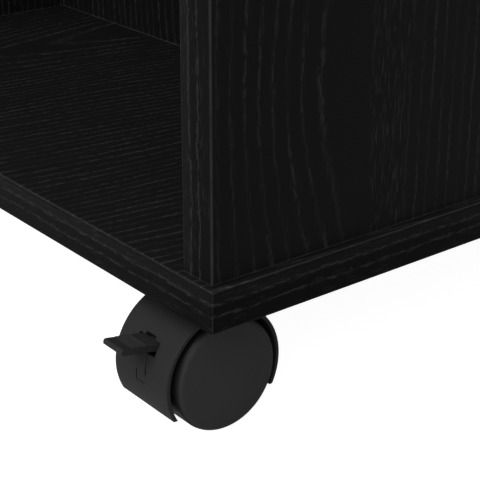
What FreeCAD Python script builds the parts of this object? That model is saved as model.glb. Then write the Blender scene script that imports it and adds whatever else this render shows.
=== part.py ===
import FreeCAD, Part
import math
import os

V = FreeCAD.Vector

# Mobile printer stand: a flat-packed carcass of laminated boards on four hooded
# twin-wheel casters, the front two with foot brakes. Millimetres, +Z up, the floor
# at Z = 0, +X to the right and -Y towards the front, where the brake levers stand out.

# ---- carcass ----
STAND_W = 366.0            # bottom and top boards, left to right
STAND_D = 337.0            # bottom and top boards, front to back
STAND_H = 560.0            # floor to the top surface
BOARD_T = 15.0             # every board is the same stock
SIDE_SET_IN = 3.2          # side panels stand in from the boards' ends
FRONT_SET_IN = 2.4         # and from their front and back edges
LOWER_BAY_H = 230.0        # clear height under the middle shelf
SHELF_SET_IN = 2.0         # middle shelf, in from the side panels' front edges
BOARD_ROUND = 1.3          # rounded arris of the top and bottom boards
PANEL_ROUND = 0.7          # rounded upright arris of the side panels
FOOT_ROUND = 0.35          # eased end grain where a panel meets a board

# ---- fasteners ----
FIT = 0.03                 # clearance round fixed pins, screws and dowels
DOWEL_R = 4.0
DOWEL_L = 30.0
DOWEL_IN_BOARD = 11.0
SCREW_R = 2.5              # long panel screws through the bottom board
SCREW_L = 50.0
SCREW_HEAD_R = 4.8
SCREW_HEAD_H = 3.0
CAM_R = 7.5                # cam lock disc
CAM_H = 12.5
CAM_REACH = 34.0           # board face to the cam's centre
CAM_BOLT_R = 3.0
CAM_NECK_R = 2.3
CAM_HEAD_R = 3.4
CAM_CHANNEL_R = 3.8
CAM_SLOT = (10.0, 2.0, 1.8)    # crossed driver slot: length, width and depth
HEX_ACROSS = 4.0           # Allen socket of a panel screw
HEX_DEPTH = 2.2
SCREW_POINT = 3.0
COVER_R = 8.6
COVER_T = 1.1
FROM_EDGE = 45.0           # first fastener, from the front and back edges
DOWEL_STEP = 32.0          # dowel beside a cam or a screw

# ---- caster ----
CASTER_H = 50.0            # floor to the board's underside
CASTER_IN = 36.0           # swivel axis, in from both edges of the bottom board
TRAIL = 15.1               # wheel axle, off the swivel axis
RUNNING = 0.05             # radial clearance of turning pins
WHEEL_R = 20.8
WHEEL_IN = 5.2             # inner face of a wheel, from the caster's middle plane
CASTER_HALF_W = 15.3       # outer rims of the hood
WHEEL_OUT = 17.8           # outer face of a wheel, which stands proud of the hood
DOME = 0.45                # crown of the wheel's outer face
WHEEL_EDGE_R = 2.4         # rounding between the wheel's face and its tread
HUB_OUT_R = 6.5            # wheel hub
RIM_IN_R = 17.5            # inside of the wheel's rim
WHEEL_WALL = 2.7           # outer face of the wheel to the pocket behind it
WHEEL_RIBS = 6
RIB_T = 1.4
HOOD_R = 24.2
HOOD_T = 1.4
HOOD_ROUND = 0.45          # rounded rims of the hood
HOOD_END_Z = 9.6           # the hood stops level at this height, front and back
WEB_HALF = 4.8             # web between the wheels
BOSS_R = 7.8
BOSS_TOP = 46.9
BOSS_FLOOR = 31.8
KINGPIN_R = 3.0
KINGPIN_FOOT = 32.3
KINGPIN_FLANGE_R = 5.4
KINGPIN_FLANGE_T = 0.4
WASHER_R = 7.0
AXLE_R = 2.5
AXLE_HALF = 12.1
PLATE_SIDE = 42.0
PLATE_CORNER_R = 4.0
PLATE_T = 2.0
PLATE_HOLE = 16.0          # screw holes, off the plate's middle both ways
CASTER_SCREW_R = 2.0
CASTER_SCREW_L = 12.5
CASTER_SCREW_TIP = 2.0
CASTER_SCREW_HEAD_R = 3.8
CASTER_SCREW_HEAD_H = 1.5

# ---- foot brake, in the caster's own frame ----
LEVER_TILT = 10.3          # degrees, the raised lever rises outwards
LEVER_T = 2.2
LEVER_HALF_W = 5.5
LEVER_ROOT = (-24.2, 13.2)     # mid-thickness point, forward and up from the axle
LEVER_TIP = 10.8           # along the lever from the root point
LEVER_TIP_ROUND = 0.88
LEVER_INNER = -5.7         # inner end of the wide paddle, along the lever
LEVER_PIVOT = (-10.0, 0.32)    # along the lever and across it, from the root point
LEVER_PIN_R = 1.0
HUB_R = 2.2                # the lever's own hub
HUB_HALF = 2.0
RIDGES = 6
RIDGE_R = 0.44
RIDGE_STEP = 1.1
SHOE_R = (22.22, 23.1)     # brake shoe, inner and outer radius about the axle
SHOE_TURN = (27.0, 34.0)   # and the degrees that it spans above the level front
SHOE_HALF = 9.8
LEVER_SLOT = (23.3, 35.8)  # the lever's opening in the hood, in the same degrees
NECK_SLOT = (35.7, 38.6)   # and the narrower notch above it
NECK_SLOT_HALF = 2.8
TONGUE_TURN = (5.9, 23.0)  # the clip's tongue, then the tab beside it
TAB_TURN = (-2.3, 6.0)
CLIP_HALF = 2.4
CLIP_GAP = 0.3
PEG = 2.0                  # the clip's square peg in the web

# ---- derived ----
LEVER_REACH = LEVER_TIP * math.cos(math.radians(LEVER_TILT)) - LEVER_ROOT[0]
LEVER_OVERHANG = TRAIL + LEVER_REACH - CASTER_IN
FRONT_Y = (LEVER_OVERHANG - STAND_D) / 2.0
BACK_Y = FRONT_Y + STAND_D
MID_Y = FRONT_Y + STAND_D / 2.0
FLOOR_Z = CASTER_H + BOARD_T           # top of the bottom board
TOP_Z = STAND_H - BOARD_T              # underside of the top board
SHELF_Z = FLOOR_Z + LOWER_BAY_H        # underside of the middle shelf
PANEL_X = STAND_W / 2.0 - SIDE_SET_IN - BOARD_T / 2.0   # middle of a side panel
INNER_X = PANEL_X - BOARD_T / 2.0
PANEL_FRONT = FRONT_Y + FRONT_SET_IN
PANEL_BACK = BACK_Y - FRONT_SET_IN
HOOD_IN_R = HOOD_R - HOOD_T
ENDS = (FRONT_Y + FROM_EDGE, BACK_Y - FROM_EDGE)

X_AXIS = V(1, 0, 0)
Y_AXIS = V(0, 1, 0)
Z_AXIS = V(0, 0, 1)


# ---- shapes ----
def block(x0, x1, y0, y1, z0, z1):
    return Part.makeBox(x1 - x0, y1 - y0, z1 - z0, V(x0, y0, z0))


def rod(radius, start, end):
    return Part.makeCylinder(radius, (end - start).Length, start, end - start)


def round_edges(shape, radius, wanted):
    edges = [e for e in shape.Edges if wanted(e)]
    return shape.makeFillet(radius, edges)


def along(edge, axis):
    direction = edge.Vertexes[-1].Point - edge.Vertexes[0].Point
    return direction.Length > 1e-6 and abs(direction.normalize() * axis) > 0.999


def fuse(shapes):
    whole = shapes[0].multiFuse(shapes[1:]) if len(shapes) > 1 else shapes[0]
    return whole.removeSplitter()


def group(shapes):
    solids = [s for shape in shapes for s in shape.Solids]
    return Part.makeCompound(solids)


# ---- carcass fasteners: each returns its solids and the holes that hold them ----
def chamfered_rod(radius, start, end, chamfer):
    pin = rod(radius, start, end)
    ends = [e for e in pin.Edges if isinstance(e.Curve, Part.Circle)]
    return pin.makeChamfer(chamfer, ends)


def dowel(at, into_panel):
    """A plain beech dowel across the joint plane at a point."""
    start = at - into_panel * DOWEL_IN_BOARD
    end = start + into_panel * DOWEL_L
    pin = chamfered_rod(DOWEL_R, start, end, 0.8)
    hole = rod(DOWEL_R + FIT, start - into_panel * 0.5, end + into_panel * 0.5)
    return pin, hole


def hex_socket(at, inwards, across, depth):
    """A six-sided recess for an Allen key."""
    corner_r = across / math.sqrt(3.0)
    side = V(1, 0, 0) if abs(inwards.x) < 0.5 else V(0, 1, 0)
    other = inwards.cross(side)
    turns = [math.radians(60.0 * k) for k in range(6)]
    points = [at + side * (corner_r * math.cos(a)) + other * (corner_r * math.sin(a)) for a in turns]
    return Part.Face(Part.makePolygon(points + points[:1])).extrude(inwards * depth)


def panel_screw(x, y):
    """A countersunk connecting screw up through the bottom board."""
    foot = V(x, y, CASTER_H)
    shank_end = foot + Z_AXIS * (SCREW_L - SCREW_POINT)
    shank = rod(SCREW_R, foot, shank_end)
    point = Part.makeCone(SCREW_R, 0.6, SCREW_POINT, shank_end, Z_AXIS)
    head = Part.makeCone(SCREW_HEAD_R, SCREW_R, SCREW_HEAD_H, foot, Z_AXIS)
    screw = fuse([shank, point, head]).cut(hex_socket(foot, Z_AXIS, HEX_ACROSS, HEX_DEPTH))
    bore = rod(SCREW_R + FIT, foot, foot + Z_AXIS * (SCREW_L + 0.5))
    sink = Part.makeCone(SCREW_HEAD_R + FIT, SCREW_R + FIT, SCREW_HEAD_H, foot, Z_AXIS)
    return screw, bore.fuse(sink)


def cam_joint(at, into_panel, face):
    """A cam lock, its bolt and its cover: at is on the joint plane, mid-thickness."""
    centre = at + into_panel * CAM_REACH
    outer = centre + face * (BOARD_T / 2.0)
    anchor = at - into_panel * DOWEL_IN_BOARD
    bolt = fuse([
        chamfered_rod(CAM_BOLT_R, anchor, at, 0.5),
        rod(CAM_NECK_R, at, centre),
        rod(CAM_HEAD_R, centre - into_panel * 3.5, centre),
    ])
    cam = rod(CAM_R, outer - face * CAM_H, outer)
    cam = cam.cut(rod(CAM_CHANNEL_R, at, centre + into_panel * 2.0))
    half_l, half_w, deep = CAM_SLOT[0] / 2.0, CAM_SLOT[1] / 2.0, CAM_SLOT[2]
    cross = block(-half_w, half_w, -half_l, half_l, -deep, 0.0)
    cross = cross.fuse(block(-half_l, half_l, -half_w, half_w, -deep, 0.0))
    cross.Placement = FreeCAD.Placement(outer, FreeCAD.Rotation(Z_AXIS, face))
    cam = cam.cut(cross)
    cover = rod(COVER_R, outer, outer + face * COVER_T)
    circles = [e for e in cover.Edges if isinstance(e.Curve, Part.Circle)]
    cover = cover.makeFillet(0.6, [e for e in circles if (e.Curve.Center - outer) * face > COVER_T / 2.0])
    board_hole = rod(CAM_BOLT_R + FIT, anchor - into_panel * 0.3, at)
    pocket = rod(CAM_R + FIT, outer - face * (CAM_H + 0.2), outer)
    panel_hole = rod(CAM_CHANNEL_R, at, centre).fuse(pocket)
    return {"bolt": bolt, "cam": cam, "cover": cover, "board_hole": board_hole, "panel_hole": panel_hole}


# ---- carcass boards ----
def rounded_board(z0):
    """A top or bottom board with all its arrises rounded."""
    board = block(-STAND_W / 2.0, STAND_W / 2.0, FRONT_Y, BACK_Y, z0, z0 + BOARD_T)
    return round_edges(board, BOARD_ROUND, lambda e: True)


def banded_panel(x0, x1, y0, y1, z0, z1, band):
    """A panel with the arrises of its front and back bands rounded; band is their direction."""
    panel = block(x0, x1, y0, y1, z0, z1)
    return round_edges(panel, PANEL_ROUND, lambda e: along(e, band))


def side_panel(x0, x1):
    return eased_foot(banded_panel(x0, x1, PANEL_FRONT, PANEL_BACK, FLOOR_Z, TOP_Z, Z_AXIS))


def eased_foot(panel):
    """Eases a panel's lower end so that a fine line shows where it meets the board."""
    low = panel.BoundBox.ZMin
    return panel.makeChamfer(FOOT_ROUND, [e for e in panel.Edges if abs(e.BoundBox.ZMax - low) < 1e-4])


def make_carcass():
    bottom = rounded_board(CASTER_H)
    top = rounded_board(TOP_Z)
    left = side_panel(-INNER_X - BOARD_T, -INNER_X)
    right = side_panel(INNER_X, INNER_X + BOARD_T)
    half_t = BOARD_T / 2.0
    partition = eased_foot(block(-INNER_X, INNER_X, MID_Y - half_t, MID_Y + half_t, FLOOR_Z, SHELF_Z))
    shelf_front = PANEL_FRONT + SHELF_SET_IN
    shelf_back = PANEL_BACK - SHELF_SET_IN
    shelf = banded_panel(-INNER_X, INNER_X, shelf_front, shelf_back, SHELF_Z, SHELF_Z + BOARD_T, X_AXIS)
    dowels, screws, cams = [], [], []
    cuts = {"bottom": [], "top": [], "left": [], "right": [], "partition": [], "shelf": []}

    def add_dowel(at, into_panel, *holders):
        pin, hole = dowel(at, into_panel)
        dowels.append(pin)
        for holder in holders:
            cuts[holder].append(hole)

    def add_screw(x, y, *holders):
        screw, hole = panel_screw(x, y)
        screws.append(screw)
        for holder in holders:
            cuts[holder].append(hole)

    def add_cam(at, into_panel, face, board, panel):
        parts = cam_joint(at, into_panel, face)
        cams.append(parts)
        cuts[board].append(parts["board_hole"])
        cuts[panel].append(parts["panel_hole"])

    for side, name in ((-1, "left"), (1, "right")):
        inwards = V(-side, 0, 0)
        for y in ENDS:
            step = DOWEL_STEP if y < MID_Y else -DOWEL_STEP
            add_screw(side * PANEL_X, y, "bottom", name)
            add_dowel(V(side * PANEL_X, y + step, FLOOR_Z), Z_AXIS, "bottom", name)
            add_cam(V(side * PANEL_X, y, TOP_Z), -Z_AXIS, inwards, "top", name)
            add_dowel(V(side * PANEL_X, y + step, TOP_Z), -Z_AXIS, "top", name)
            add_cam(V(side * INNER_X, y, SHELF_Z + half_t), inwards, -Z_AXIS, name, "shelf")
            add_dowel(V(side * INNER_X, y + step, SHELF_Z + half_t), inwards, name, "shelf")
        half_up = FLOOR_Z + LOWER_BAY_H * 0.5
        add_cam(V(side * INNER_X, MID_Y, half_up), inwards, Y_AXIS, name, "partition")
        add_dowel(V(side * INNER_X, MID_Y, half_up + 2.0 * DOWEL_STEP), inwards, name, "partition")
        add_screw(side * INNER_X * 0.5, MID_Y, "bottom", "partition")
        add_dowel(V(side * INNER_X * 0.5, MID_Y, SHELF_Z), -Z_AXIS, "shelf", "partition")

    for x, y in caster_places():
        for dx in (-PLATE_HOLE, PLATE_HOLE):
            for dy in (-PLATE_HOLE, PLATE_HOLE):
                foot = V(x + dx, y + dy, CASTER_H)
                cuts["bottom"].append(rod(CASTER_SCREW_R + FIT, foot, foot + Z_AXIS * CASTER_SCREW_L))

    boards = {"bottom": bottom, "top": top, "left": left, "right": right}
    boards.update({"partition": partition, "shelf": shelf})
    for name, holes in cuts.items():
        boards[name] = boards[name].cut(holes)
    return {
        "bottom_board": boards["bottom"],
        "top_board": boards["top"],
        "left_side_panel": boards["left"],
        "right_side_panel": boards["right"],
        "centre_partition": boards["partition"],
        "middle_shelf": boards["shelf"],
        "wooden_dowels": group(dowels),
        "panel_screws": group(screws),
        "cam_bolts": group([c["bolt"] for c in cams]),
        "cam_locks": group([c["cam"] for c in cams]),
        "cam_covers": group([c["cover"] for c in cams]),
    }


# ---- caster, in its own frame: swivel axis on Z, wheels trailing towards -Y ----
def cyl_x(radius, x0, x1, y=-TRAIL, z=WHEEL_R):
    return Part.makeCylinder(radius, x1 - x0, V(x0, y, z), X_AXIS)


def polar(radius, degrees, x=0.0):
    """A point about the axle, degrees above the level front."""
    a = math.radians(degrees)
    return V(x, -TRAIL - radius * math.cos(a), WHEEL_R + radius * math.sin(a))


def sector(r0, r1, a0, a1, x0, x1):
    """A slab of a ring about the axle, between two radii and two angles."""
    middle = (a0 + a1) / 2.0
    edges = [
        Part.LineSegment(polar(r0, a0, x0), polar(r1, a0, x0)).toShape(),
        Part.Arc(polar(r1, a0, x0), polar(r1, middle, x0), polar(r1, a1, x0)).toShape(),
        Part.LineSegment(polar(r1, a1, x0), polar(r0, a1, x0)).toShape(),
        Part.Arc(polar(r0, a1, x0), polar(r0, middle, x0), polar(r0, a0, x0)).toShape(),
    ]
    return Part.Face(Part.Wire(edges)).extrude(V(x1 - x0, 0, 0))


def on_lever(s, n, x=0.0):
    """A point s along the raised lever and n across it, from its root point."""
    a = math.radians(LEVER_TILT)
    y = LEVER_ROOT[0] - s * math.cos(a) + n * math.sin(a)
    z = LEVER_ROOT[1] + s * math.sin(a) + n * math.cos(a)
    return V(x, y - TRAIL, z + WHEEL_R)


def bar(s0, s1, n0, n1, half_w):
    """A straight bar of the lever."""
    corners = [on_lever(s, n, -half_w) for s, n in ((s0, n0), (s1, n0), (s1, n1), (s0, n1))]
    return Part.Face(Part.makePolygon(corners + corners[:1])).extrude(V(2.0 * half_w, 0, 0))


def lever_pivot():
    return on_lever(*LEVER_PIVOT)


def brake_openings():
    """Room for the brake lever and its shoe in a front caster's hood."""
    pivot = lever_pivot()
    through = HOOD_R + 1.0
    wide = LEVER_HALF_W + 0.4
    hub = HUB_HALF + 0.3
    shoe = SHOE_HALF + 0.5
    return [
        sector(HOOD_IN_R - 0.3, through, *LEVER_SLOT, -wide, wide),
        sector(HOOD_IN_R - 0.3, through, *NECK_SLOT, -NECK_SLOT_HALF, NECK_SLOT_HALF),
        sector(HOOD_IN_R - 2.1, HOOD_IN_R + 0.1, 20.0, 40.0, -WEB_HALF, WEB_HALF),
        sector(HOOD_IN_R - 0.1, SHOE_R[1] + 0.35, 21.0, 37.0, -shoe, shoe),
        sector(HOOD_IN_R - 5.0, HOOD_IN_R + 0.1, 22.0, 46.0, -hub, hub),
        cyl_x(HUB_R + 0.4, -hub, hub, pivot.y, pivot.z),
        cyl_x(LEVER_PIN_R + FIT, -WEB_HALF, WEB_HALF, pivot.y, pivot.z),
    ]


def clip_openings():
    """The window in the hood's front that the brake clip snaps into."""
    through = HOOD_R + 1.0
    neck_turn = TAB_TURN[1]
    tongue_turn = (neck_turn - 0.4, TONGUE_TURN[1] + 0.4)
    tab_turn = (TAB_TURN[0] - 1.0, neck_turn + 0.2)
    tongue_gap = sector(HOOD_IN_R, through, *tongue_turn, -CLIP_HALF - 0.05, CLIP_HALF + 0.2)
    tab_gap = sector(HOOD_IN_R, through, *tab_turn, -CLIP_HALF - 0.25, CLIP_HALF + 0.05)
    front = -TRAIL - HOOD_IN_R
    half = PEG / 2.0 + 0.05
    peg_hole = block(-half, half, front - 0.1, front + 2.9, WHEEL_R - 0.05, WHEEL_R + PEG + 0.05)
    widest = CLIP_HALF + 0.9
    inner = CLIP_HALF - 0.4
    corners = [polar(through, 15.0, CLIP_HALF + 0.1), polar(through, 5.6, widest),
               polar(through, 5.6, inner), polar(through, 15.0, inner)]
    flare = Part.Face(Part.makePolygon(corners + corners[:1])).extrude(V(0, 3.0, -0.6))
    return [tongue_gap, tab_gap, peg_hole, flare]


def make_hood(braked):
    """The swivel housing: a shell over both wheels, a web between them and the boss."""
    past = CASTER_HALF_W + 1.0
    shell = cyl_x(HOOD_R, -CASTER_HALF_W, CASTER_HALF_W)
    shell = round_edges(shell, HOOD_ROUND, lambda e: isinstance(e.Curve, Part.Circle))
    shell = shell.cut(cyl_x(HOOD_IN_R, -past, past))
    web = cyl_x(HOOD_IN_R + 0.4, -WEB_HALF, WEB_HALF)
    boss = rod(BOSS_R, V(0, 0, BOSS_FLOOR - 2.0), V(0, 0, BOSS_TOP))
    boss = boss.cut([cyl_x(HOOD_IN_R, WEB_HALF, past), cyl_x(HOOD_IN_R, -past, -WEB_HALF)])
    hood = fuse([shell, web, boss])
    reach = HOOD_R + 1.0
    below = block(-past, past, -TRAIL - reach, -TRAIL + reach, -reach, HOOD_END_Z)
    kingpin_bore = rod(KINGPIN_R + RUNNING, V(0, 0, BOSS_FLOOR), V(0, 0, BOSS_TOP + 1.0))
    axle_bore = cyl_x(AXLE_R + FIT, -WEB_HALF - 1.0, WEB_HALF + 1.0)
    cuts = [below, kingpin_bore, axle_bore]
    if braked:
        cuts += brake_openings() + clip_openings()
    return hood.cut(cuts)


def make_wheel(side):
    """One moulded wheel: crowned closed face outside, hub, rim and ribs inside."""
    bore_r = AXLE_R + RUNNING
    crown_r = WHEEL_R - WHEEL_EDGE_R - 0.1
    shoulder = WHEEL_OUT - DOME
    tread_x = shoulder - WHEEL_EDGE_R
    pocket_x = WHEEL_OUT - WHEEL_WALL
    bore_x = AXLE_HALF + 0.3

    def at(x, r):
        return V(x, -TRAIL + r, WHEEL_R)

    half_way = at(WHEEL_OUT - DOME / 4.0, crown_r / 2.0)
    crown = Part.Arc(at(WHEEL_OUT, 0), half_way, at(shoulder, crown_r))
    bulge = WHEEL_EDGE_R * 0.725
    middle = at(tread_x + bulge, WHEEL_R - WHEEL_EDGE_R + bulge)
    edge = Part.Arc(at(shoulder, crown_r), middle, at(tread_x, WHEEL_R))
    outline = [
        at(tread_x, WHEEL_R), at(WHEEL_IN + 0.5, WHEEL_R), at(WHEEL_IN, WHEEL_R - 0.5),
        at(WHEEL_IN, RIM_IN_R), at(pocket_x, RIM_IN_R), at(pocket_x, HUB_OUT_R),
        at(WHEEL_IN, HUB_OUT_R), at(WHEEL_IN, bore_r), at(bore_x, bore_r), at(bore_x, 0),
        at(WHEEL_OUT, 0),
    ]
    lines = [Part.LineSegment(a, b).toShape() for a, b in zip(outline, outline[1:])]
    wire = Part.Wire([crown.toShape(), edge.toShape()] + lines)
    wheel = Part.Face(wire).revolve(at(0, 0), X_AXIS, 360.0)
    half_rib = RIB_T / 2.0
    y0 = -TRAIL + HUB_OUT_R - 0.4
    y1 = -TRAIL + RIM_IN_R + 0.4
    ribs = []
    for k in range(WHEEL_RIBS):
        rib = block(WHEEL_IN + 1.5, pocket_x + 0.2, y0, y1, WHEEL_R - half_rib, WHEEL_R + half_rib)
        rib.rotate(at(0, 0), X_AXIS, 360.0 / WHEEL_RIBS * k)
        ribs.append(rib)
    wheel = fuse([wheel] + ribs)
    return wheel if side > 0 else wheel.mirror(V(0, 0, 0), X_AXIS)


def make_axle():
    return chamfered_rod(AXLE_R, V(-AXLE_HALF, -TRAIL, WHEEL_R), V(AXLE_HALF, -TRAIL, WHEEL_R), 0.4)


def make_plate():
    """The pressed steel mounting plate with its four screw holes."""
    half = PLATE_SIDE / 2.0
    z0 = CASTER_H - PLATE_T
    plate = block(-half, half, -half, half, z0, CASTER_H)
    plate = round_edges(plate, PLATE_CORNER_R, lambda e: along(e, Z_AXIS))
    plate = round_edges(plate, 0.3, lambda e: e.BoundBox.ZMax < z0 + 0.01)
    holes = [rod(KINGPIN_R + FIT, V(0, 0, z0 - 1.0), V(0, 0, CASTER_H + 1.0))]
    for dx in (-PLATE_HOLE, PLATE_HOLE):
        for dy in (-PLATE_HOLE, PLATE_HOLE):
            holes.append(rod(CASTER_SCREW_R + 0.25, V(dx, dy, z0 - 1.0), V(dx, dy, CASTER_H + 1.0)))
    return plate.cut(holes)


def make_kingpin():
    """The swivel pin, riveted into the plate, with the flange that carries the load."""
    under_plate = CASTER_H - PLATE_T
    pin = chamfered_rod(KINGPIN_R, V(0, 0, KINGPIN_FOOT), V(0, 0, CASTER_H), 0.4)
    flange = rod(KINGPIN_FLANGE_R, V(0, 0, under_plate - KINGPIN_FLANGE_T), V(0, 0, under_plate))
    return fuse([pin, flange])


def make_swivel_washer():
    z0 = BOSS_TOP + 0.1
    z1 = CASTER_H - PLATE_T - KINGPIN_FLANGE_T
    washer = rod(WASHER_R, V(0, 0, z0), V(0, 0, z1))
    return washer.cut(rod(KINGPIN_R + 0.1, V(0, 0, z0 - 1.0), V(0, 0, z1 + 1.0)))


def make_caster_screws():
    """The four pan-head screws of one plate."""
    z0 = CASTER_H - PLATE_T
    face = z0 - CASTER_SCREW_HEAD_H
    shank_end = CASTER_H + CASTER_SCREW_L - CASTER_SCREW_TIP - 0.5
    head = rod(CASTER_SCREW_HEAD_R, V(0, 0, face), V(0, 0, z0))
    head = round_edges(head, 0.9, lambda e: e.BoundBox.ZMax < face + 0.5)
    shank = rod(CASTER_SCREW_R, V(0, 0, z0), V(0, 0, shank_end))
    point = Part.makeCone(CASTER_SCREW_R, 0.5, CASTER_SCREW_TIP, V(0, 0, shank_end), Z_AXIS)
    cross = [block(-w, w, -l, l, face - 0.5, z0 - 0.6) for w, l in ((0.45, 2.0), (2.0, 0.45))]
    screw = fuse([head, shank, point]).cut(cross)
    screws = []
    for dx in (-PLATE_HOLE, PLATE_HOLE):
        for dy in (-PLATE_HOLE, PLATE_HOLE):
            screws.append(screw.translated(V(dx, dy, 0)))
    return group(screws)


def make_brake_lever():
    """Foot lever: ribbed paddle, neck through the hood, shoe bar inside and a hub."""
    half_t = LEVER_T / 2.0
    paddle = bar(LEVER_INNER, LEVER_TIP, -half_t, half_t, LEVER_HALF_W)
    near_tip = on_lever(LEVER_TIP - 1.0, 0).y
    tip_edges = [e for e in paddle.Edges if along(e, X_AXIS) and e.CenterOfMass.y < near_tip]
    paddle = paddle.makeFillet(LEVER_TIP_ROUND, tip_edges)
    arm = bar(LEVER_PIVOT[0], LEVER_INNER + 0.5, -half_t, half_t, HUB_HALF)
    pivot = lever_pivot()
    hub = cyl_x(HUB_R, -HUB_HALF, HUB_HALF, pivot.y, pivot.z)
    shoe = sector(*SHOE_R, *SHOE_TURN, -SHOE_HALF, SHOE_HALF)
    ridge_half = LEVER_HALF_W - 0.25
    ridges = []
    for k in range(RIDGES):
        middle = on_lever(0.5 + k * RIDGE_STEP, half_t - 0.12)
        ridges.append(cyl_x(RIDGE_R, -ridge_half, ridge_half, middle.y, middle.z))
    lever = fuse([paddle, arm, hub, shoe] + ridges)
    return lever.cut(cyl_x(LEVER_PIN_R + RUNNING, -HUB_HALF - 1.0, HUB_HALF + 1.0, pivot.y, pivot.z))


def make_lever_pin():
    pivot = lever_pivot()
    return cyl_x(LEVER_PIN_R, -WEB_HALF + 0.1, WEB_HALF - 0.1, pivot.y, pivot.z)


def make_brake_clip():
    """The moulded clip below the lever: a tongue, a tab beside it and a peg in the web."""
    r0 = HOOD_IN_R + 0.05
    tongue = sector(r0, HOOD_R, *TONGUE_TURN, -CLIP_HALF, CLIP_HALF - 0.05)
    tab = sector(r0, HOOD_R, *TAB_TURN, -CLIP_HALF + CLIP_GAP, CLIP_HALF)
    front = -TRAIL - HOOD_IN_R
    peg = block(-PEG / 2.0, PEG / 2.0, front - 0.6, front + 2.8, WHEEL_R, WHEEL_R + PEG)
    return fuse([tongue, tab, peg])


def caster_places():
    """The four swivel axes: front left, front right, rear left, rear right."""
    x = STAND_W / 2.0 - CASTER_IN
    return [(s * x, y) for y in (FRONT_Y + CASTER_IN, BACK_Y - CASTER_IN) for s in (-1, 1)]


def make_caster(braked):
    """Every piece of one caster in its own frame."""
    pieces = {
        "mounting_plate": make_plate(),
        "kingpin": make_kingpin(),
        "swivel_washer": make_swivel_washer(),
        "hood": make_hood(braked),
        "axle": make_axle(),
        "wheel_left": make_wheel(-1),
        "wheel_right": make_wheel(1),
    }
    if braked:
        pieces["brake_lever"] = make_brake_lever()
        pieces["lever_pin"] = make_lever_pin()
        pieces["brake_clip"] = make_brake_clip()
    return pieces


def placed(shape, x, y, turned):
    copy = shape.copy()
    if turned:
        copy.rotate(V(0, 0, 0), Z_AXIS, 180.0)
    copy.translate(V(x, y, 0))
    return copy


def make_casters():
    """Four casters: the front two trail forwards and are braked, the rear two trail back."""
    names = ("front_left", "front_right", "rear_left", "rear_right")
    nodes = {}
    screws = []
    kinds = {True: make_caster(True), False: make_caster(False)}
    one_set = make_caster_screws()
    for name, (x, y) in zip(names, caster_places()):
        braked = name.startswith("front")
        for piece, shape in kinds[braked].items():
            nodes[name + "_" + piece] = placed(shape, x, y, not braked)
        screws.append(placed(one_set, x, y, not braked))
    nodes["caster_screws"] = group(screws)
    return nodes


def main():
    os.makedirs("parts", exist_ok=True)
    nodes = make_carcass()
    nodes.update(make_casters())
    for name, shape in nodes.items():
        solids = shape.Solids
        if not solids or not all(s.isValid() for s in solids):
            raise RuntimeError(name + " isn't valid")
        shape.exportStep("parts/" + name + ".step")
        print(name, len(solids), round(shape.Volume / 1000.0, 2), "cm3")


main()
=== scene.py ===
"""The looks of the mobile printer stand: black oak laminate boards on four twin-wheel casters.

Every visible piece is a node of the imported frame. This script gives each one a procedural
material, then adds the floor, the studio light and the camera. Lengths inside the materials are
in millimetres.
"""

import math
from typing import NamedTuple

import bpy
from mathutils import Matrix, Vector


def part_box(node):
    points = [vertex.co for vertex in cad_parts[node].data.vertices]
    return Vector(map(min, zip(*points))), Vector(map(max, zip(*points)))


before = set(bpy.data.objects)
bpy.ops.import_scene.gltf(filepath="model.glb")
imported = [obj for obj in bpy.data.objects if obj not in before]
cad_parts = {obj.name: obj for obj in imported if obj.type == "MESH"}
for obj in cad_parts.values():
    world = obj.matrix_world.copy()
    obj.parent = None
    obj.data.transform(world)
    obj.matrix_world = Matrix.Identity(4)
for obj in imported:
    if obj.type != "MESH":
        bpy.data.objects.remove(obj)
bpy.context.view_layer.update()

MM = 0.001
X, Y, Z = AXES = 0, 1, 2


# ---------------------------------------------------------------- shader arithmetic

class Field:
    """A number that varies over a surface, with the usual arithmetic."""

    def __init__(self, graph, socket):
        self.graph = graph
        self.socket = socket

    def __add__(self, other):
        return self.graph.math("ADD", self, other)

    def __sub__(self, other):
        return self.graph.math("SUBTRACT", self, other)

    def __rsub__(self, other):
        return self.graph.math("SUBTRACT", other, self)

    def __mul__(self, other):
        return self.graph.math("MULTIPLY", self, other)

    def __truediv__(self, other):
        return self.graph.math("DIVIDE", self, other)

    __radd__ = __add__
    __rmul__ = __mul__

    def __abs__(self):
        return self.graph.math("ABSOLUTE", self)

    def root(self):
        return self.graph.math("SQRT", self)

    def cosine(self):
        return self.graph.math("COSINE", self)

    def wrap(self):
        """Distance from the nearest whole number, from 0 to 0.5."""
        return self.graph.math("PINGPONG", self, 0.5)

    def least(self, other):
        return self.graph.math("MINIMUM", self, other)

    def most(self, other):
        return self.graph.math("MAXIMUM", self, other)

    def above(self, other):
        return self.graph.math("GREATER_THAN", self, other)

    def ramp(self, start, end, low=0.0, high=1.0):
        """A smooth step from low at start to high at end, which may lie below start."""
        if start > end:
            return self.ramp(end, start, high, low)
        node = self.graph.add("ShaderNodeMapRange", interpolation_type="SMOOTHSTEP")
        ends = {"Value": self, "From Min": start, "From Max": end, "To Min": low, "To Max": high}
        for name, value in ends.items():
            self.graph.put(node.inputs[name], value)
        return Field(self.graph, node.outputs[0])


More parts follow.
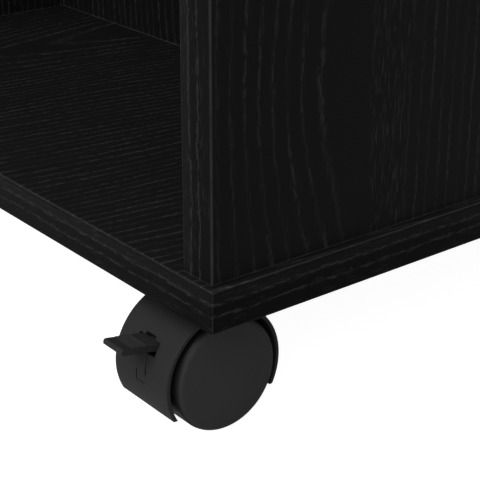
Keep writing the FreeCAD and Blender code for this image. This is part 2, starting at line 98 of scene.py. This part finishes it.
class Graph:
    """Adds the nodes of one material. A value is a number, a colour, a socket or a Field."""

    def __init__(self, name):
        self.material = bpy.data.materials.new(name)
        self.material.use_nodes = True
        self.tree = self.material.node_tree
        self.tree.nodes.clear()

    def add(self, kind, **settings):
        node = self.tree.nodes.new(kind)
        for name, value in settings.items():
            setattr(node, name, value)
        return node

    def put(self, socket, value):
        if isinstance(value, Field):
            value = value.socket
        if isinstance(value, bpy.types.NodeSocket):
            self.tree.links.new(value, socket)
        else:
            socket.default_value = value

    def math(self, operation, *values):
        node = self.add("ShaderNodeMath", operation=operation)
        for socket, value in zip(node.inputs, values):
            self.put(socket, value)
        return Field(self, node.outputs[0])

    def split(self, socket):
        node = self.add("ShaderNodeSeparateXYZ")
        self.put(node.inputs[0], socket)
        return [Field(self, output) for output in node.outputs]

    def join(self, x, y, z):
        node = self.add("ShaderNodeCombineXYZ")
        for socket, value in zip(node.inputs, (x, y, z)):
            self.put(socket, value)
        return node.outputs[0]

    def place(self):
        """Where the point is on its piece, in millimetres."""
        coordinates = self.add("ShaderNodeTexCoord")
        return [axis * (1 / MM) for axis in self.split(coordinates.outputs["Object"])]

    def facing(self):
        """The normal of the piece itself, before any bump."""
        return self.split(self.add("ShaderNodeTexCoord").outputs["Normal"])

    def noise(self, x, y, z, detail=0.0, roughness=0.5):
        """Smooth noise of wavelength 1, from about -1 to 1."""
        node = self.add("ShaderNodeTexNoise")
        self.put(node.inputs["Vector"], self.join(x, y, z))
        self.put(node.inputs["Scale"], 1.0)
        self.put(node.inputs["Detail"], detail)
        self.put(node.inputs["Roughness"], roughness)
        return Field(self, node.outputs["Factor" if "Factor" in node.outputs else "Fac"]) * 2 - 1

    def flecks(self, spot, size, seed, detail=0.0, roughness=0.5):
        """Noise over a face, in flecks of that size: across the grain and along it."""
        (across, along), (wide, long) = spot, size
        return self.noise(across / wide, along / long, seed, detail, roughness)

    def speckle(self, place, size, detail, roughness=0.5):
        """Noise through a solid, in grains of that size along X, Y and Z."""
        x, y, z = [axis / length for axis, length in zip(place, size)]
        return self.noise(x, y, z, detail, roughness)

    def grey(self, value):
        """A neutral colour of that brightness."""
        node = self.add("ShaderNodeCombineColor")
        for socket in node.inputs:
            self.put(socket, value)
        return node.outputs[0]

    def bump(self, height, depth):
        """A normal from a height field: height 1 stands depth millimetres proud."""
        node = self.add("ShaderNodeBump")
        self.put(node.inputs["Strength"], 1.0)
        self.put(node.inputs["Distance"], depth * MM)
        self.put(node.inputs["Height"], height)
        return node.outputs[0]

    def surface(self, **values):
        """The shader: each name is one of its sockets, with _ for a space."""
        shader = self.add("ShaderNodeBsdfPrincipled")
        for name, value in values.items():
            self.put(shader.inputs[name.replace("_", " ")], value)
        output = self.add("ShaderNodeOutputMaterial")
        self.put(output.inputs["Surface"], shader.outputs[0])
        return self.material


# ---------------------------------------------------------------- black oak laminate

OAK_BLACK = 0.0098          # reflectance of the plain black between the grain lines
OAK_LINE_GAIN = 2.6         # how much lighter a grain line is than the black around it
OAK_ROUGHNESS = 0.52
OAK_SPECULAR = 0.06         # the foil is dead matt, so it hardly mirrors the studio
PORE_DEPTH = 0.06           # depth of the embossed grain
FIBRE_DEPTH = 0.12          # height of the fine fibre, as a share of that

LINE_HALF_WIDTH = 0.5       # half the width of a thread of pores on a broad face
TWIN_HALF_WIDTH = 0.42      # the same, of the thread that runs beside it here and there
CROWDED = (11, 15, 28, 38)  # distances off the heart between which short pores crowd in
CLEAR_HALF_WIDTH = 7.5      # half the width of the blank stripe by the heart
CLEAR_END = 10              # how far off its middle the grain is whole again

BAND_TONE = 0.55            # the edge banding is blacker than the faces
BAND_GAIN = 1.45            # and its streaks stand out more
BAND_STREAKS = (0.29, 0.58)     # where its two streaks run, as shares of the thickness
BAND_SWAYS = (0.6, 1.6, 2.6)    # how far each thread of a streak strays
BAND_LOW = 0.40             # brightness of the band's blacker half

ARRIS_HIGHLIGHT_WIDTH = 0.85          # painted highlight: width of the lighter line along each edge, which stands in for the glint on the rounded arris
ARRIS_HIGHLIGHT_GAIN = 2.4
PANEL_HIGHLIGHT_GAIN = 4.5      # the painted highlight is stronger on the panels, whose edges are square
FOOT_HIGHLIGHT_GAIN = 5.0             # painted highlight: the light line where a panel stands on the board


class Face(NamedTuple):
    """A side of a board: the axis its grain follows, the axis across it, and if it is banded."""
    along: int
    across: int
    banded: bool


# The faces that look along X, Y and Z.
LEVEL_BOARD = (Face(Y, Z, True), Face(X, Z, True), Face(Y, X, False))
SIDE_PANEL = (Face(Z, Y, False), Face(Z, X, True), Face(Y, X, True))
CROSS_PANEL = (Face(Z, Y, True), Face(Z, X, False), Face(X, Y, True))


class Figure(NamedTuple):
    """How the growth rings lie on one board."""
    seed: float             # which piece of the endless noise it shows
    heart: float            # where the heart of the trunk runs, from the lowest corner
    spacing: float = 5.0    # between two rings
    depth: float = 15.0     # how far below the face the heart lies
    taper: float = 0.0      # of the trunk, which closes the rings in arches over the heart
    wander: float = 3.0     # of the rings, to and fro
    crowd: float = 0.0      # how far short pores crowd in beside the heart
    fan: float = 0.0        # how far the rings fan out at the swelling
    waist: float = 60.0     # where they are closest, from the lowest corner
    wave: float = 170.0     # from there to the next waist
    clear: float = 0.0      # how far the blank stripe lies off the heart
    plain: float = 0.5      # how blank it is
    veins: float = 0.3      # how much the black itself varies
    face_shade: float = 1.0       # painted shade: how bright the broad faces are beside those of the level boards, for the light each board gets


def plain_rings(graph, across, along, figure):
    """The rings of a flat-sawn board, as millimetres of growth, and the distance off its heart.

    The rings run straight at the sides and close in arches over the heart. Towards the datum edge
    they fan out and back in, as around a swelling of the trunk.
    """
    swell = 0.5 - 0.5 * ((along - figure.waist) * (2 * math.pi / figure.wave)).cosine()
    fade = across.ramp(figure.heart - 3, figure.heart + 22, figure.fan, 0.0)
    fanned = across - across * swell * fade
    wander = graph.flecks((across, along), (70, 180), figure.seed, detail=1.0) * figure.wander
    off_heart = fanned + wander - figure.heart
    ring = (off_heart * off_heart + figure.depth ** 2).root() - along * figure.taper
    return ring, off_heart


def strand(graph, ring, spacing, spot, seed, sway, half_width):
    """One thread of pores per growth ring: it sways about the ring and breaks up into beads."""
    stray = graph.flecks(spot, (6, 9), seed, detail=3.0, roughness=0.7) * sway
    distance = ((ring + stray) / spacing).wrap() * spacing
    beads = graph.flecks(spot, (1.4, 3), seed + 3, detail=1.0).ramp(-0.3, 0.2, 0.1, 1.0)
    return distance.ramp(half_width, 0.5 * half_width) * beads


def face_grain(graph, across, along, figure):
    """Brightness of the grain lines on a broad face, from 0 to 1."""
    spot = across, along
    seed, spacing = figure.seed, figure.spacing
    ring, off_heart = plain_rings(graph, across, along, figure)
    strength = graph.flecks(spot, (5, 40), seed + 5).ramp(-0.4, 0.3, 0.25, 1.0)
    first = strand(graph, ring, spacing, spot, seed + 7, sway=1.3, half_width=LINE_HALF_WIDTH)
    second = strand(graph, ring, spacing, spot, seed + 57, sway=2.6, half_width=TWIN_HALF_WIDTH)
    paired = graph.flecks(spot, (6, 25), seed + 61).ramp(-0.1, 0.35, 0.0, 0.7)
    lines = first.most(second * paired) * strength

    pores = graph.flecks(spot, (0.7, 8), seed + 11, detail=1.0).ramp(0.12, 0.32)
    beside = (ring / spacing).wrap().ramp(0.12, 0.3, 0.5, 0.0)
    rise, full, fall, gone = CROWDED
    crowded = off_heart.ramp(rise, full) * off_heart.ramp(fall, gone, 1.0, 0.0) * figure.crowd
    off_stripe = abs(off_heart - figure.clear)
    clear = 1 - off_stripe.ramp(CLEAR_HALF_WIDTH, CLEAR_END, figure.plain, 0.0)
    lines = lines * (1 - crowded * 0.7)
    return (lines.most(pores * beside.most(crowded * 0.9)) * clear).least(1.0)


def band_grain(graph, inward, along, thickness, seed):
    """Brightness of the streaks on a banded edge, which run the length of the band."""
    spot = inward, along
    total = 0.0
    for count, place in enumerate(BAND_STREAKS):
        waver = graph.flecks(spot, (9, 30), seed + count, detail=1.0) * 1.1
        for turn, sway in enumerate(BAND_SWAYS):
            own = seed + 9 * count + 4 * turn
            stray = graph.flecks(spot, (3, 7), own, detail=3.0, roughness=0.75) * sway
            beads = graph.flecks(spot, (0.9, 4), own + 2, detail=1.0)
            beads = beads.ramp(-0.15 + 0.1 * turn, 0.25)
            distance = abs(inward + waver + stray - place * thickness)
            total = (distance.ramp(0.6, 0.2) * beads).most(total)
    slant = along + inward * 2.5
    feathers = graph.flecks((inward, slant), (0.7, 5), seed + 46, detail=1.0).ramp(0.1, 0.4)
    near = graph.flecks(spot, (4, 20), seed + 48).ramp(-0.3, 0.2)
    return total.most(feathers * near * 0.5) * BAND_GAIN


def oak(node, faces, figure):
    """Black oak laminate for one board: printed, embossed faces and banded edges, with painted
    highlights along the edges.
    """
    graph = Graph("black_oak_" + node)
    low, high = [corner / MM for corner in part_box(node)]
    place = graph.place()
    normal = [abs(part) for part in graph.facing()]
    looks_x = normal[X].above(normal[Y].most(normal[Z]))
    looks_y = normal[Y].above(normal[X].most(normal[Z]))
    weights = (looks_x, looks_y, 1 - looks_x - looks_y)

    def here(values):
        """The value of whichever face the point lies on."""
        return sum(weight * value for weight, value in zip(weights, values))

    from_low = [place[axis] - low[axis] for axis in AXES]
    from_high = [high[axis] - place[axis] for axis in AXES]
    along = here([from_low[face.along] for face in faces])
    across = here([from_low[face.across] for face in faces])
    banded = here([float(face.banded) for face in faces])

    level = faces is LEVEL_BOARD
    thickness = min(high[axis] - low[axis] for axis in AXES)
    inward = thickness - across if level else across
    face = face_grain(graph, across, along, figure)
    band = band_grain(graph, inward, along, thickness, figure.seed + 20)
    grain = face + (band - face) * banded

    spot = across, along
    tone = 1 + graph.flecks(spot, (2, 50), figure.seed + 30, detail=3.0) * figure.veins
    shade = inward.ramp(0.26 * thickness, 0.42 * thickness, 1.0, BAND_LOW)
    shaded = tone * (1 + (shade * BAND_TONE - 1) * banded)
    tone = tone * (1 + (BAND_TONE - 1) * banded)
    # Painted shade: the panels' broad faces are darkened board by board, for the light they get
    # less of.
    if figure.face_shade != 1.0:
        painted_face_tone = figure.face_shade + (1 - figure.face_shade) * banded
        tone, shaded = tone * painted_face_tone, shaded * painted_face_tone

    nearest = [a.least(b) for a, b in zip(from_low, from_high)]
    arris = nearest[X].least(nearest[Y]).most(nearest[X].most(nearest[Y]).least(nearest[Z]))
    # Painted highlight: a lighter line along every edge, for the glint on the rounded arrises,
    # broken up at random.
    highlight_breakup = graph.speckle(place, (14, 14, 14), detail=3.0).ramp(-0.5, 0.4, 0.55, 1.0)
    arris_highlight = arris.ramp(ARRIS_HIGHLIGHT_WIDTH, 0.35 * ARRIS_HIGHLIGHT_WIDTH) * highlight_breakup

    painted_highlights = arris_highlight * ARRIS_HIGHLIGHT_GAIN
    if not level:
        # Painted highlight: a light line along the foot of each panel, where it stands on the
        # board.
        foot_highlight = from_low[Z].ramp(1.1, 0.5) * highlight_breakup
        painted_highlights = (arris_highlight * PANEL_HIGHLIGHT_GAIN).most(foot_highlight * FOOT_HIGHLIGHT_GAIN)
    fibre = graph.flecks(spot, (0.35, 6), figure.seed + 40, detail=2.0)
    colour = (shaded + tone * (grain * OAK_LINE_GAIN + painted_highlights)) * OAK_BLACK
    return graph.surface(
        Base_Color=graph.grey(colour),
        Roughness=OAK_ROUGHNESS + grain * 0.1 + fibre * 0.05 - arris_highlight * 0.08,
        Specular_IOR_Level=OAK_SPECULAR,
        Normal=graph.bump(fibre * FIBRE_DEPTH - grain, PORE_DEPTH),
    )


BOARDS = {
    "bottom_board": (LEVEL_BOARD, Figure(
        seed=4.1, heart=84, spacing=4.7, depth=26, taper=0.1, wander=11)),
    "middle_shelf": (LEVEL_BOARD, Figure(
        seed=53.7, heart=210, spacing=5.4, depth=22, taper=0.08, wander=8)),
    "top_board": (LEVEL_BOARD, Figure(
        seed=91.3, heart=150, spacing=5.8, depth=24, taper=0.09, wander=11)),
    "right_side_panel": (SIDE_PANEL, Figure(
        seed=17.9, heart=50, depth=13, wander=2.0, crowd=1.0, fan=0.34, clear=5, plain=1.0,
        veins=0.1, face_shade=0.61)),
    "left_side_panel": (SIDE_PANEL, Figure(
        seed=33.2, heart=190, spacing=4.2, taper=0.05, wander=8, crowd=1.0, face_shade=0.90)),
    "centre_partition": (CROSS_PANEL, Figure(
        seed=71.6, heart=120, taper=0.06, wander=6, crowd=1.0, face_shade=0.77)),
}


# ---------------------------------------------------------------- caster plastics and metals

MOULD_DEPTH = 0.012         # depth of the grain on moulded plastic
BRUSH_DEPTH = 0.01          # depth of the brushing on steel
FLECK_DEPTH = 0.03          # depth of the flecks in beech
BEECH = (0.52, 0.33, 0.18, 1.0)
BEECH_FLECK = (0.34, 0.19, 0.09, 1.0)


def moulded_plastic(name, reflectance, roughness, grain, specular=0.12, painted_tread_shade=1.0):
    """Nylon or similar, with the fine spark-eroded grain of its mould and a little scuffing.

    The rolling surface of a wheel is darkened to that share of its faces' brightness: painted
    shade for the gap between the wheel and the hood.
    """
    graph = Graph(name)
    place = graph.place()
    spark = graph.speckle(place, (grain, grain, grain), detail=2.0, roughness=0.6)
    flow = graph.speckle(place, (9, 9, 16), detail=2.0)
    scuffs = graph.speckle(place, (1.2, 6, 1.2), detail=4.0, roughness=0.65).ramp(0.42, 0.62)
    tone = 1 + flow * 0.06 + spark * 0.05 + scuffs * 0.12
    # Painted shade: the rolling surface, where the normal turns away from X, is darker, for the
    # gap between wheel and hood.
    if painted_tread_shade != 1.0:
        tone = tone * abs(graph.facing()[X]).ramp(0.45, 0.85, painted_tread_shade, 1.0)
    return graph.surface(
        Base_Color=graph.grey(tone * reflectance),
        Roughness=roughness + spark * 0.06 + flow * 0.04 + scuffs * 0.1,
        Specular_IOR_Level=specular,
        Normal=graph.bump(spark + scuffs * 0.3, MOULD_DEPTH),
    )


def plated_steel(name, reflectance, roughness):
    """Zinc-plated steel: bright, brushed by tumbling, dulled in patches."""
    graph = Graph(name)
    place = graph.place()
    brush = graph.speckle(place, (0.25, 3, 0.25), detail=3.0)
    patches = graph.speckle(place, (6, 6, 6), detail=3.0)
    return graph.surface(
        Base_Color=graph.grey((1 + patches * 0.12) * reflectance),
        Metallic=1.0,
        Roughness=roughness + patches * 0.12 + brush * 0.05,
        Normal=graph.bump(brush, BRUSH_DEPTH),
    )


def beech(name):
    """Turned beech, with short flecks along the dowel."""
    graph = Graph(name)
    flecks = graph.speckle(graph.place(), (0.4, 0.4, 4), detail=2.0).ramp(0.1, 0.5)
    mix = graph.add("ShaderNodeMix", data_type="RGBA")
    graph.put(mix.inputs["Factor"], flecks)
    graph.put(mix.inputs[6], BEECH)
    graph.put(mix.inputs[7], BEECH_FLECK)
    return graph.surface(Base_Color=mix.outputs[2], Roughness=0.6 + flecks * 0.1,
                         Normal=graph.bump(flecks, -FLECK_DEPTH))


SLOT_MATERIALS = {
    "hood_plastic": moulded_plastic("hood_black_nylon", 0.025, 0.5, grain=0.35),
    "wheel_plastic": moulded_plastic("wheel_black_nylon", 0.036, 0.46, grain=0.5, painted_tread_shade=0.3),
    "cover_plastic": moulded_plastic("cap_black_plastic", 0.012, 0.55, grain=0.3),
    "washer_nylon": moulded_plastic("washer_natural_nylon", 0.62, 0.45, grain=0.4, specular=0.4),
    "caster_steel": plated_steel("caster_zinc_steel", 0.60, 0.34),
    "zinc_fasteners": plated_steel("zinc_alloy", 0.55, 0.38),
    "dowel_beech": beech("dowel_beech"),
}


for node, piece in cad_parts.items():
    for slot in piece.material_slots:
        if node in BOARDS:
            slot.material = oak(node, *BOARDS[node])
        else:
            slot.material = SLOT_MATERIALS[slot.material.name]


# ---------------------------------------------------------------- floor, light and camera

WHITE = (1.0, 1.0, 1.0, 1.0)
FLOOR_GREY = (0.45, 0.45, 0.45, 1.0)
FLOOR_HALF = 6.0            # half the side of the floor
FLOOR_GLOW = 0.1            # light that the floor gives to the stand
FLOOR_GLOW_SEEN = 0.85      # what the camera sees on top of that, for a white backdrop
WORLD_FILL = 0.12           # light from all around; the camera sees plain white

LIGHT_AIM = (0, 0, 0.2)
SOFT_BOXES = {              # place in metres, side in metres, power in watts
    "front": ((0, -2.2, 2.2), 1.8, 52),
    "front_right": ((1.6, -1.6, 2.2), 1.8, 17.5),
    "low_right": ((2.0, -2.0, 0.9), 1.6, 13),
    "left": ((-2.2, 0, 2.2), 1.8, 21),
    "back": ((0, 2.2, 2.2), 1.8, 27),
    "left_back": ((-2.1, 1.3, 1.3), 1.8, 75),
}

CAMERA_FROM_CORNER = (0.2916, -0.2217, 0.1766)  # off the top of the board's front right corner
CAMERA_YAW = -51.42         # degrees
CAMERA_PITCH = -23.43
CAMERA_ROLL = 0.09
CAMERA_LENS = 99.5          # millimetres
CAMERA_SENSOR = 36.0


def add_floor():
    """A white sweep that gives a soft light from below."""
    mesh = bpy.data.meshes.new("floor")
    signs = ((-1, -1), (1, -1), (1, 1), (-1, 1))
    mesh.from_pydata([(x * FLOOR_HALF, y * FLOOR_HALF, 0) for x, y in signs], [], [(0, 1, 2, 3)])
    floor = bpy.data.objects.new("floor", mesh)
    bpy.context.scene.collection.objects.link(floor)
    graph = Graph("white_sweep")
    seen = graph.add("ShaderNodeLightPath").outputs["Is Camera Ray"]
    mesh.materials.append(graph.surface(
        Base_Color=FLOOR_GREY, Roughness=0.9, Specular_IOR_Level=0.0, Emission_Color=WHITE,
        Emission_Strength=Field(graph, seen) * FLOOR_GLOW_SEEN + FLOOR_GLOW,
    ))


def add_light(name, place, size, power):
    """A square soft box at place, turned to face the stand."""
    lamp = bpy.data.lights.new(name, "AREA")
    lamp.shape = "SQUARE"
    lamp.size = size
    lamp.energy = power
    light = bpy.data.objects.new(name, lamp)
    light.location = place
    aim = Vector(LIGHT_AIM) - Vector(place)
    light.rotation_euler = aim.to_track_quat("-Z", "Y").to_euler()
    bpy.context.scene.collection.objects.link(light)


def light_studio():
    """White all around for the camera, dim all around for the stand, and the soft boxes."""
    scene = bpy.context.scene
    world = bpy.data.worlds.new("studio")
    world.use_nodes = True
    tree = world.node_tree
    path = tree.nodes.new("ShaderNodeLightPath")
    level = tree.nodes.new("ShaderNodeMapRange")
    level.inputs["To Min"].default_value = WORLD_FILL
    level.inputs["To Max"].default_value = 1.0
    tree.links.new(path.outputs["Is Camera Ray"], level.inputs["Value"])
    background = tree.nodes["Background"]
    background.inputs["Color"].default_value = WHITE
    tree.links.new(level.outputs[0], background.inputs["Strength"])
    scene.world = world
    scene.view_settings.view_transform = "Standard"
    for name, (place, size, power) in SOFT_BOXES.items():
        add_light(name, place, size, power)


def add_camera():
    """Looks down at the front right caster from the right, in front."""
    low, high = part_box("bottom_board")
    corner = Vector((high.x, low.y, high.z))
    yaw, pitch, roll = [math.radians(angle) for angle in (CAMERA_YAW, CAMERA_PITCH, CAMERA_ROLL)]
    level = math.cos(pitch)
    ahead = Vector((math.sin(yaw) * level, math.cos(yaw) * level, math.sin(pitch)))
    right = ahead.cross(Vector((0, 0, 1))).normalized()
    up = right.cross(ahead)
    view = Matrix((right, up, -ahead)).transposed().to_4x4() @ Matrix.Rotation(roll, 4, "Z")
    data = bpy.data.cameras.new("camera")
    data.lens = CAMERA_LENS
    data.sensor_width = CAMERA_SENSOR
    data.clip_start = 0.01
    camera = bpy.data.objects.new("camera", data)
    camera.matrix_world = Matrix.Translation(corner + Vector(CAMERA_FROM_CORNER)) @ view
    bpy.context.scene.collection.objects.link(camera)
    bpy.context.scene.camera = camera


add_floor()
light_studio()
add_camera()
